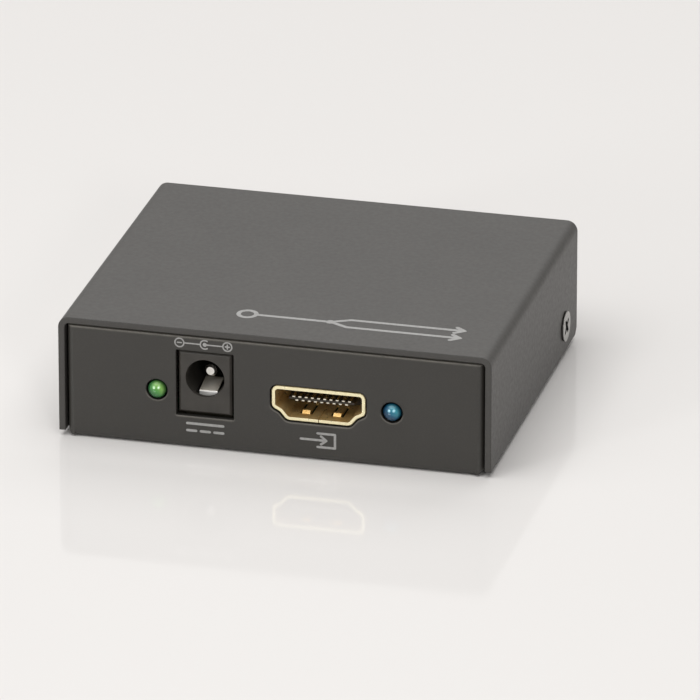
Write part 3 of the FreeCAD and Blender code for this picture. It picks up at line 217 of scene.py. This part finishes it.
def powder_coat(name, color, edge, edge_highlight=0.0, painted_light_above=None):
    """Fine satin powder coat: a pebbled film with faint speckles over edges rounded by edge millimetres.

    Its upper edges are painted pale by the share edge_highlight: a painted highlight. Faces of the sheet
    that look up, more than painted_light_above metres over the table, are painted pale too: painted light
    over the shade they lie in.
    """
    material, tree, shader = new_material(name)
    speckle = noise(tree, 5200, 2, 0.6)
    drift = ramp(tree, noise(tree, 90, 3), (0.3, scaled(color, 0.95)), (0.7, scaled(color, 1.05)))
    film = mix(tree, spread(tree, speckle, 0.0, 0.34, 0.56, 0.74), drift, scaled(color, 2.1))
    # painted highlight: upward edges of the upright faces are painted pale, in patches
    patchy = spread(tree, noise(tree, 500, 3), 0.6 * edge_highlight, edge_highlight)
    painted_edge_highlight = combine(tree, "MULTIPLY", upper_edge(tree, 1.8 * edge * MM), patchy)
    film = mix(tree, painted_edge_highlight, film, scaled(color, 5.0))
    # painted light: faces that look up, above painted_light_above, are painted pale over their shade
    if painted_light_above:
        high = rise(tree, surface_parts(tree, "Position")["Z"], painted_light_above - 0.1 * MM, painted_light_above)
        cut = combine(tree, "MULTIPLY", high, facing(tree, "Z"))
        film = mix(tree, cut, film, scaled(color, 7.0))
    tree.links.new(film, shader.inputs["Base Color"])
    uneven_gloss(tree, shader, noise(tree, 1400, 3), 0.40, 0.50)
    pebbles = combine(tree, "ADD", noise(tree, 2600, 2), combine(tree, "MULTIPLY", speckle, 0.4))
    relief(tree, shader, pebbles, 0.007 * MM, edge * MM)
    shader.inputs["IOR"].default_value = 1.5
    return material


def plated(name, dark, light, roughness, metal=1.0, front_highlight=None, beyond=None, painted_shade_reach=None):
    """Plated metal with faint marks and a tint that varies a little.

    Faces that look forward or back are painted front_highlight, a painted highlight, those more than
    beyond metres from the middle of the case alone where it is given. Places less than
    painted_shade_reach millimetres from another wall are painted dark as painted shade.
    """
    material, tree, shader = new_material(name)
    tint = ramp(tree, noise(tree, 420, 3), (0.32, dark), (0.68, light))
    # painted highlight: faces that look forward or back take the pale front_highlight colour
    if front_highlight:
        share = facing(tree, "Y")
        if beyond:
            out = combine(tree, "ABSOLUTE", surface_parts(tree, "Position")["Y"])
            share = combine(tree, "MULTIPLY", share, rise(tree, out, beyond - 0.3 * MM, beyond))
        tint = mix(tree, share, tint, front_highlight)
    # painted shade: places close to another wall, such as the screws' cross recesses, are painted near
    # black
    if painted_shade_reach:
        open_sky = add(tree, "ShaderNodeAmbientOcclusion", samples=8, only_local=True)
        open_sky.inputs["Distance"].default_value = painted_shade_reach * MM
        tint = mix(tree, rise(tree, open_sky.outputs["AO"], 0.5, 0.95), scaled(dark, 0.06), tint)
    tree.links.new(tint, shader.inputs["Base Color"])
    marks = noise(tree, 1500, 3, 0.6)
    uneven_gloss(tree, shader, marks, *roughness)
    relief(tree, shader, marks, 0.0008 * MM, 0.04 * MM)
    shader.inputs["Metallic"].default_value = metal
    return material


def moulded(name, color, roughness, grain=3200, depth=0.004):
    """Moulded resin or plastic: fine spark-eroded grain and slightly uneven gloss."""
    material, tree, shader = new_material(name)
    clouded(tree, shader, 350, 3, (0.3, scaled(color, 0.85)), (0.7, scaled(color, 1.25)))
    uneven_gloss(tree, shader, noise(tree, 800, 2), *roughness)
    relief(tree, shader, noise(tree, grain, 2), depth * MM, 0.08 * MM)
    return material


def lens(name, node, deep, middle, pale, glint):
    """Tinted resin: painted paler towards its upper right as painted light, painted deep at its rim as
    painted shade, with two painted highlights.
    """
    material, tree, shader = new_material(name)
    heart = sum((Vector(corner) for corner in NODES[node].bound_box), Vector()) / 8
    across = shifted(tree, "MULTIPLY", shifted(tree, "SUBTRACT", place(tree), heart), (1.0, 0.0, 1.0))
    sides = parts_of(tree, across)
    # painted light: the resin is paler towards its upper right, where light passes through the dome
    toward_painted_light = rise(tree, combine(tree, "ADD", sides["X"], sides["Z"]), -1.4 * MM, 1.4 * MM)
    cloud = spread(tree, noise(tree, 900, 2), -0.08, 0.08)
    tint = ramp(tree, combine(tree, "ADD", toward_painted_light, cloud), (0.15, deep), (0.55, middle), (0.95, pale))
    # painted shade: the rim of the dome is painted deeper
    rim = rise(tree, distance(tree, across, (0.0, 0.0, 0.0)), 1.0 * MM, 1.5 * MM)
    tint = mix(tree, rim, tint, scaled(deep, 0.5))
    # painted highlights: two pale spots where the front lamps' glints fall
    for glint_at in ((-0.26, 0.0, 0.58), (0.48, 0.0, 0.62)):
        spot = spread(tree, distance(tree, across, scaled(glint_at, MM)), 1.0, 0.0, 0.08 * MM, 0.30 * MM)
        tint = mix(tree, spot, tint, glint)
    tree.links.new(tint, shader.inputs["Base Color"])
    uneven_gloss(tree, shader, noise(tree, 900, 2), 0.05, 0.09)
    relief(tree, shader, noise(tree, 700, 1), 0.001 * MM)
    shader.inputs["IOR"].default_value = 1.5
    return material


def laminate(name):
    """Green solder mask over copper, lighter where tracks run under it, with dark cut edges."""
    material, tree, shader = new_material(name)
    tracks = add(tree, "ShaderNodeTexVoronoi", feature="DISTANCE_TO_EDGE", distance="MANHATTAN")
    tracks.inputs["Scale"].default_value = 420
    tree.links.new(place(tree), tracks.inputs["Vector"])
    run = spread(tree, tracks.outputs["Distance"], 1.0, 0.0, 0.03, 0.06)
    mask = ramp(tree, noise(tree, 150, 3), (0.3, (0.008, 0.075, 0.030)), (0.7, (0.012, 0.10, 0.042)))
    printed_face = mix(tree, run, mask, (0.03, 0.20, 0.075))
    whole = mix(tree, facing(tree, "Z"), (0.020, 0.018, 0.012), printed_face)
    tree.links.new(whole, shader.inputs["Base Color"])
    uneven_gloss(tree, shader, noise(tree, 600, 2), 0.22, 0.34)
    relief(tree, shader, combine(tree, "ADD", run, noise(tree, 2500, 2)), 0.01 * MM, 0.05 * MM)
    return material


def screen_ink(name):
    """Screen-printed ink with a slightly broken film."""
    material, tree, shader = new_material(name)
    clouded(tree, shader, 2600, 3, (0.25, (0.30, 0.295, 0.285)), (0.7, (0.40, 0.395, 0.385)))
    uneven_gloss(tree, shader, noise(tree, 1500, 2), 0.45, 0.6)
    relief(tree, shader, noise(tree, 4000, 2), 0.003 * MM)
    return material


def table_top(name):
    """Pale glossy laminate of the table."""
    material, tree, shader = new_material(name)
    clouded(tree, shader, 3, 2, (0.3, (0.850, 0.825, 0.803)), (0.7, (0.862, 0.838, 0.816)))
    uneven_gloss(tree, shader, noise(tree, 30, 2), 0.055, 0.085)
    relief(tree, shader, noise(tree, 60, 1), 0.004 * MM)
    shader.inputs["IOR"].default_value = 1.45
    return material


# cut top faces of the panels, painted pale as painted light, lie above the first, and the shells'
# lips, painted pale as a painted highlight, lie beyond the second
PANEL_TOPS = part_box("base_tray")[1].z - 0.3 * MM
LIPS = -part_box("input_socket_shell")[0].y - 0.65 * MM

SURFACES = {
    "cover_paint": powder_coat("cover_paint", (0.0528, 0.0497, 0.0455), 0.35),
    # tray_paint is the cover's paint made darker: painted shade that dims the tray's front panel. It also
    # carries the painted edge highlight and the painted light on the panel tops
    "tray_paint": powder_coat(
        "tray_paint", (0.0345, 0.0321, 0.0278), 0.3, edge_highlight=1.0, painted_light_above=PANEL_TOPS
    ),
    # screw_nickel: painted shade in the cross recesses
    "screw_nickel": plated(
        "screw_nickel", (0.34, 0.335, 0.32), (0.45, 0.44, 0.42), (0.24, 0.38), painted_shade_reach=1.0
    ),
    "steel": plated("steel", (0.48, 0.48, 0.48), (0.62, 0.62, 0.62), (0.25, 0.4)),
    "board_laminate": laminate("board_laminate"),
    "jack_plastic": moulded("jack_plastic", (0.035, 0.0312, 0.0262), (0.42, 0.54)),
    "contact_nickel": plated("contact_nickel", (0.66, 0.64, 0.60), (0.80, 0.78, 0.75), (0.12, 0.2)),
    # spring_nickel: painted highlight on the leaf's forward faces
    "spring_nickel": plated(
        "spring_nickel", (0.66, 0.60, 0.50), (0.84, 0.79, 0.70), (0.28, 0.42),
        metal=0.3, front_highlight=(1.0, 0.98, 0.94),
    ),
    "green_lens": lens(
        "green_lens", "power_lamp",
        deep=(0.025, 0.13, 0.040), middle=(0.075, 0.30, 0.065), pale=(0.24, 0.52, 0.10),
        glint=(0.62, 0.95, 0.55),
    ),
    "blue_lens": lens(
        "blue_lens", "signal_lamp",
        deep=(0.003, 0.035, 0.085), middle=(0.008, 0.10, 0.19), pale=(0.04, 0.31, 0.40),
        glint=(0.45, 0.82, 0.95),
    ),
    "lead_tin": plated("lead_tin", (0.60, 0.60, 0.60), (0.72, 0.72, 0.72), (0.25, 0.4)),
    "chip_resin": moulded("chip_resin", (0.018, 0.018, 0.019), (0.45, 0.6)),
    "can_metal": plated("can_metal", (0.66, 0.66, 0.66), (0.80, 0.80, 0.80), (0.22, 0.34)),
    "ferrite": moulded("ferrite", (0.05, 0.05, 0.052), (0.5, 0.7), grain=1800, depth=0.012),
    "fuse_body": moulded("fuse_body", (0.03, 0.20, 0.08), (0.4, 0.5)),
    "ceramic": moulded("ceramic", (0.42, 0.30, 0.18), (0.45, 0.6)),
    # shell_gold: painted highlight on the shells' front lips
    "shell_gold": plated(
        "shell_gold", (0.74, 0.48, 0.17), (0.92, 0.68, 0.32), (0.26, 0.38),
        metal=0.7, front_highlight=(1.0, 0.91, 0.60), beyond=LIPS,
    ),
    "socket_plastic": moulded("socket_plastic", (0.026, 0.021, 0.015), (0.45, 0.6)),
    # contact_gold: painted highlight on the contacts' forward faces
    "contact_gold": plated(
        "contact_gold", (0.92, 0.74, 0.42), (1.0, 0.88, 0.62), (0.2, 0.3), front_highlight=(0.88, 0.84, 0.72)
    ),
}


def smoothing():
    """A modifier's nodes that join split vertices and shade gentle turns smoothly."""
    tree = bpy.data.node_groups.new("smooth_gentle_turns", "GeometryNodeTree")
    tree.interface.new_socket("Geometry", in_out="INPUT", socket_type="NodeSocketGeometry")
    tree.interface.new_socket("Geometry", in_out="OUTPUT", socket_type="NodeSocketGeometry")
    start = add(tree, "NodeGroupInput")
    end = add(tree, "NodeGroupOutput")
    merge = add(tree, "GeometryNodeMergeByDistance")
    merge.inputs["Distance"].default_value = WELD
    faces = add(tree, "GeometryNodeSetShadeSmooth")
    edges = add(tree, "GeometryNodeSetShadeSmooth", domain="EDGE")
    edges.inputs["Shade Smooth"].default_value = False
    turn = add(tree, "GeometryNodeInputMeshEdgeAngle")
    sharp = add(tree, "FunctionNodeCompare", data_type="FLOAT", operation="GREATER_THAN")
    sharp.inputs["B"].default_value = math.radians(26)
    tree.links.new(turn.outputs["Unsigned Angle"], sharp.inputs["A"])
    tree.links.new(sharp.outputs["Result"], edges.inputs["Selection"])
    tree.links.new(start.outputs[0], merge.inputs["Geometry"])
    tree.links.new(merge.outputs["Geometry"], faces.inputs["Geometry"])
    tree.links.new(faces.outputs["Geometry"], edges.inputs["Geometry"])
    tree.links.new(edges.outputs["Geometry"], end.inputs[0])
    return tree


SMOOTHING = smoothing()


def dress(node, surface):
    """Give a piece of the frame its finish and smooth shading."""
    thing = NODES[node]
    if not thing.material_slots:
        thing.data.materials.append(surface)
    for slot in thing.material_slots:
        slot.link = "OBJECT"
        slot.material = surface
    modifier = thing.modifiers.new("smooth_gentle_turns", "NODES")
    modifier.node_group = SMOOTHING


for part in frame["record"]["subparts"]:
    dress(part["node"], SURFACES[part["material_slot"]])


# ---- printed marks, in millimetres on their faces ----

INK_SURFACE = screen_ink("screen_ink")
INK = 0.012 * MM
# how much higher each stroke of a mark is than the one before, so that no two films share a face
STROKE_STEP = 0.0015 * MM
# where the inlet's marks have their middle, from left to right
INLET_ACROSS = -11.15


def across_of(node):
    """Where the middle of a piece is, from left to right."""
    low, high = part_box(node)
    return (low.x + high.x) / 2 / MM


def mesh_object(name, shape, surface):
    mesh = bpy.data.meshes.new(name)
    shape.to_mesh(mesh)
    shape.free()
    mesh.materials.append(surface)
    thing = bpy.data.objects.new(name, mesh)
    bpy.context.scene.collection.objects.link(thing)
    return thing


def mark_object(name, shape):
    """A mark of ink that rides on the case."""
    bmesh.ops.recalc_face_normals(shape, faces=shape.faces)
    thing = mesh_object(name, shape, INK_SURFACE)
    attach(thing, "case")
    return thing


def on_front(across, up, out):
    return Vector((across * MM, FRONT_FACE - out, up * MM))


def on_roof(across, along, out):
    return Vector((across * MM, along * MM, ROOF + out))


def around(middle, radius, angle):
    """The point that lies radius from the middle, at an angle in radians."""
    return Vector(middle) + Vector((math.cos(angle), math.sin(angle))) * radius


def bar(start, end, width):
    """A rounded stroke as an outline of points."""
    run = Vector(end) - Vector(start)
    turn = math.atan2(run.y, run.x)
    return [[
        around(middle, width / 2, first + math.pi * step / 6)
        for middle, first in ((end, turn - math.pi / 2), (start, turn + math.pi / 2))
        for step in range(7)
    ]]


def arc(middle, radius, width, low=0.0, high=360.0):
    """A ring or part of one as a row of four-sided patches."""
    count = max(6, round((high - low) / 7.5))
    turns = [math.radians(low + (high - low) * step / count) for step in range(count + 1)]
    inner, outer = (
        [around(middle, reach, turn) for turn in turns]
        for reach in (radius - width / 2, radius + width / 2)
    )
    return [[inner[i], outer[i], outer[i + 1], inner[i + 1]] for i in range(count)]


def disc(middle, radius):
    """A round dot as an outline of points."""
    return [[around(middle, radius, math.radians(15 * step)) for step in range(24)]]


def arrow(start, tip, width, head):
    """A stroke that ends in an open arrow head."""
    start, tip = Vector(start), Vector(tip)
    along = (tip - start).normalized()
    side = Vector((-along.y, along.x))
    barbs = [bar(tip, tip - along * head + side * head * hand * 0.8, width) for hand in (1, -1)]
    return [bar(start, tip, width), *barbs]


def printed(name, strokes, face):
    """A printed mark: a film of ink for each stroke."""
    shape = bmesh.new()
    for count, stroke in enumerate(strokes):
        height = INK + STROKE_STEP * count
        for patch in stroke:
            top = [shape.verts.new(face(point.x, point.y, height)) for point in patch]
            low = [shape.verts.new(face(point.x, point.y, -height)) for point in patch]
            shape.faces.new(top)
            shape.faces.new(list(reversed(low)))
            for i in range(len(patch)):
                after = (i + 1) % len(patch)
                shape.faces.new([top[i], low[i], low[after], top[after]])
    bmesh.ops.remove_doubles(shape, verts=shape.verts, dist=WELD)
    return mark_object(name, shape)


def polarity_mark():
    """The common symbol of an inlet whose centre pin is positive."""
    up, stroke, ring, reach = 17.74, 0.22, 0.72, 0.33
    left, middle, right = -15.25, INLET_ACROSS, -7.5
    return printed("polarity_mark", [
        arc((left, up), ring, stroke),
        arc((right, up), ring, stroke),
        arc((middle, up), ring, stroke, 50, 310),
        bar((left - reach, up), (left + reach, up), stroke),
        bar((right - reach, up), (right + reach, up), stroke),
        bar((right, up - reach), (right, up + reach), stroke),
        disc((middle, up), reach),
        bar((left + ring, up), (middle - ring, up), stroke),
        bar((middle, up), (right - ring, up), stroke),
    ], on_front)


def direct_current_mark():
    """A solid line over a dashed one."""
    up, half, apart, stroke = 3.6, 2.9, 0.6, 0.42
    dash, pitch = 0.7, 2.2
    strokes = [bar((INLET_ACROSS - half, up + apart), (INLET_ACROSS + half, up + apart), stroke)]
    for step in (-1, 0, 1):
        at = INLET_ACROSS + step * pitch
        strokes.append(bar((at - dash, up - apart), (at + dash, up - apart), stroke))
    return printed("direct_current_mark", strokes, on_front)


def input_mark():
    """An arrow that points into an open box."""
    middle, up, half, stroke = across_of("input_socket_shell"), 3.5, 1.15, 0.38
    near, far = middle - 0.1, middle + 2.7
    return printed("input_mark", [
        *arrow((middle - 2.8, up), (middle + 1.3, up), stroke, 0.85),
        bar((near, up + half), (far, up + half), stroke),
        bar((near, up - half), (far, up - half), stroke),
        bar((far, up - half), (far, up + half), stroke),
    ], on_front)


def branch_mark():
    """One line that branches into two, in place of words on the roof."""
    along, start, fork, end, apart, stroke = -21.25, -6.4, 7.0, 28.2, 1.5, 0.7
    ring, slant, head = 1.4, 3.0, 1.35
    strokes = [
        arc((start, along), ring, stroke),
        bar((start + ring, along), (fork, along), stroke),
        disc((fork, along), stroke),
    ]
    for hand in (1, -1):
        bend = (fork + slant, along + apart * hand)
        strokes.append(bar((fork, along), bend, stroke))
        strokes += arrow(bend, (end, bend[1]), stroke, head)
    return printed("branch_mark", strokes, on_roof)


def digit(name, text, socket):
    """A plain numeral printed on the rear panel, below a socket."""
    size, up = 2.9, 2.6
    curve = bpy.data.curves.new(name, "FONT")
    curve.body = text
    curve.size = size * MM
    curve.align_x = "CENTER"
    curve.extrude = INK
    maker = bpy.data.objects.new(name, curve)
    bpy.context.scene.collection.objects.link(maker)
    bpy.context.view_layer.update()
    shape = bmesh.new()
    shape.from_mesh(maker.evaluated_get(bpy.context.evaluated_depsgraph_get()).to_mesh())
    bpy.data.objects.remove(maker)
    upright = Matrix((
        (-1, 0, 0, across_of(socket) * MM),
        (0, 0, 1, REAR_FACE),
        (0, 1, 0, up * MM),
        (0, 0, 0, 1),
    ))
    bmesh.ops.transform(shape, matrix=upright, verts=shape.verts)
    return mark_object(name, shape)


polarity_mark()
direct_current_mark()
input_mark()
branch_mark()
digit("first_output_mark", "1", "right_output_socket_shell")
digit("second_output_mark", "2", "left_output_socket_shell")


# ---- stage, in metres ----

# what the lamps look at
TARGET = Vector((0.0, 0.0, 0.008))

# strength of the surroundings as light on the object, and as the camera and reflections see them
AMBIENT = 0.04
BACKDROP = 0.54

# the camera, fitted to the photograph
PHOTO_WIDTH_PIXELS = 700
FOCAL_LENGTH_PIXELS = 9523.5
SENSOR_WIDTH = 36.0
CAMERA_TURN, CAMERA_TILT = math.radians(14.311), math.radians(22.629)
CAMERA_PLACE = (0.34993, -1.35314, 0.58876)


def floor():
    """The table top: a wide sheet a hair below the case."""
    shape = bmesh.new()
    bmesh.ops.create_grid(shape, x_segments=8, y_segments=8, size=4.0)
    thing = mesh_object("table_top", shape, table_top("table_top"))
    thing.location.z = -0.02 * MM


def soft_light(name, place_at, size, power):
    """A white area light that looks at the object."""
    light = bpy.data.lights.new(name, "AREA")
    light.shape = "RECTANGLE"
    light.size, light.size_y = size
    light.energy = power
    thing = bpy.data.objects.new(name, light)
    thing.location = place_at
    thing.rotation_euler = (TARGET - thing.location).to_track_quat("-Z", "Y").to_euler()
    thing.visible_camera = False
    bpy.context.scene.collection.objects.link(thing)


def room():
    """Even pale surroundings, whiter where the camera or a reflection sees them."""
    world = bpy.data.worlds.new("room")
    bpy.context.scene.world = world
    world.use_nodes = True
    tree = world.node_tree
    shade = tree.nodes["Background"]
    shade.inputs["Color"].default_value = (1.0, 0.985, 0.965, 1.0)
    path = add(tree, "ShaderNodeLightPath").outputs
    seen = combine(tree, "MAXIMUM", path["Is Camera Ray"], path["Is Glossy Ray"])
    tree.links.new(spread(tree, seen, AMBIENT, BACKDROP, 0.0, 1.0), shade.inputs["Strength"])


def camera():
    """The view of the photograph."""
    data = bpy.data.cameras.new("camera")
    data.sensor_width = SENSOR_WIDTH
    data.lens = FOCAL_LENGTH_PIXELS / PHOTO_WIDTH_PIXELS * SENSOR_WIDTH
    data.clip_start, data.clip_end = 0.1, 20.0
    thing = bpy.data.objects.new("camera", data)
    bpy.context.scene.collection.objects.link(thing)
    back = Vector((
        math.sin(CAMERA_TURN) * math.cos(CAMERA_TILT),
        -math.cos(CAMERA_TURN) * math.cos(CAMERA_TILT),
        math.sin(CAMERA_TILT),
    ))
    right = Vector((math.cos(CAMERA_TURN), math.sin(CAMERA_TURN), 0.0))
    axes = Matrix((right, back.cross(right), back)).transposed()
    thing.matrix_world = Matrix.Translation(CAMERA_PLACE) @ axes.to_4x4()
    bpy.context.scene.camera = thing


floor()
soft_light("overhead_softbox", (0.0, -0.35, 1.8), (2.4, 2.1), 30.8)
soft_light("left_softbox", (-1.05, -0.9, 1.5), (2.2, 2.2), 14.0)
soft_light("rear_softbox", (0.0, 1.25, 1.4), (1.8, 1.0), 9.5)
soft_light("left_front_softbox", (-0.79, -1.17, 0.33), (0.2, 0.2), 2.8)
soft_light("right_front_softbox", (0.62, -1.20, 0.55), (0.2, 0.2), 2.5)
room()
camera()
bpy.context.scene.view_settings.view_transform = "Standard"
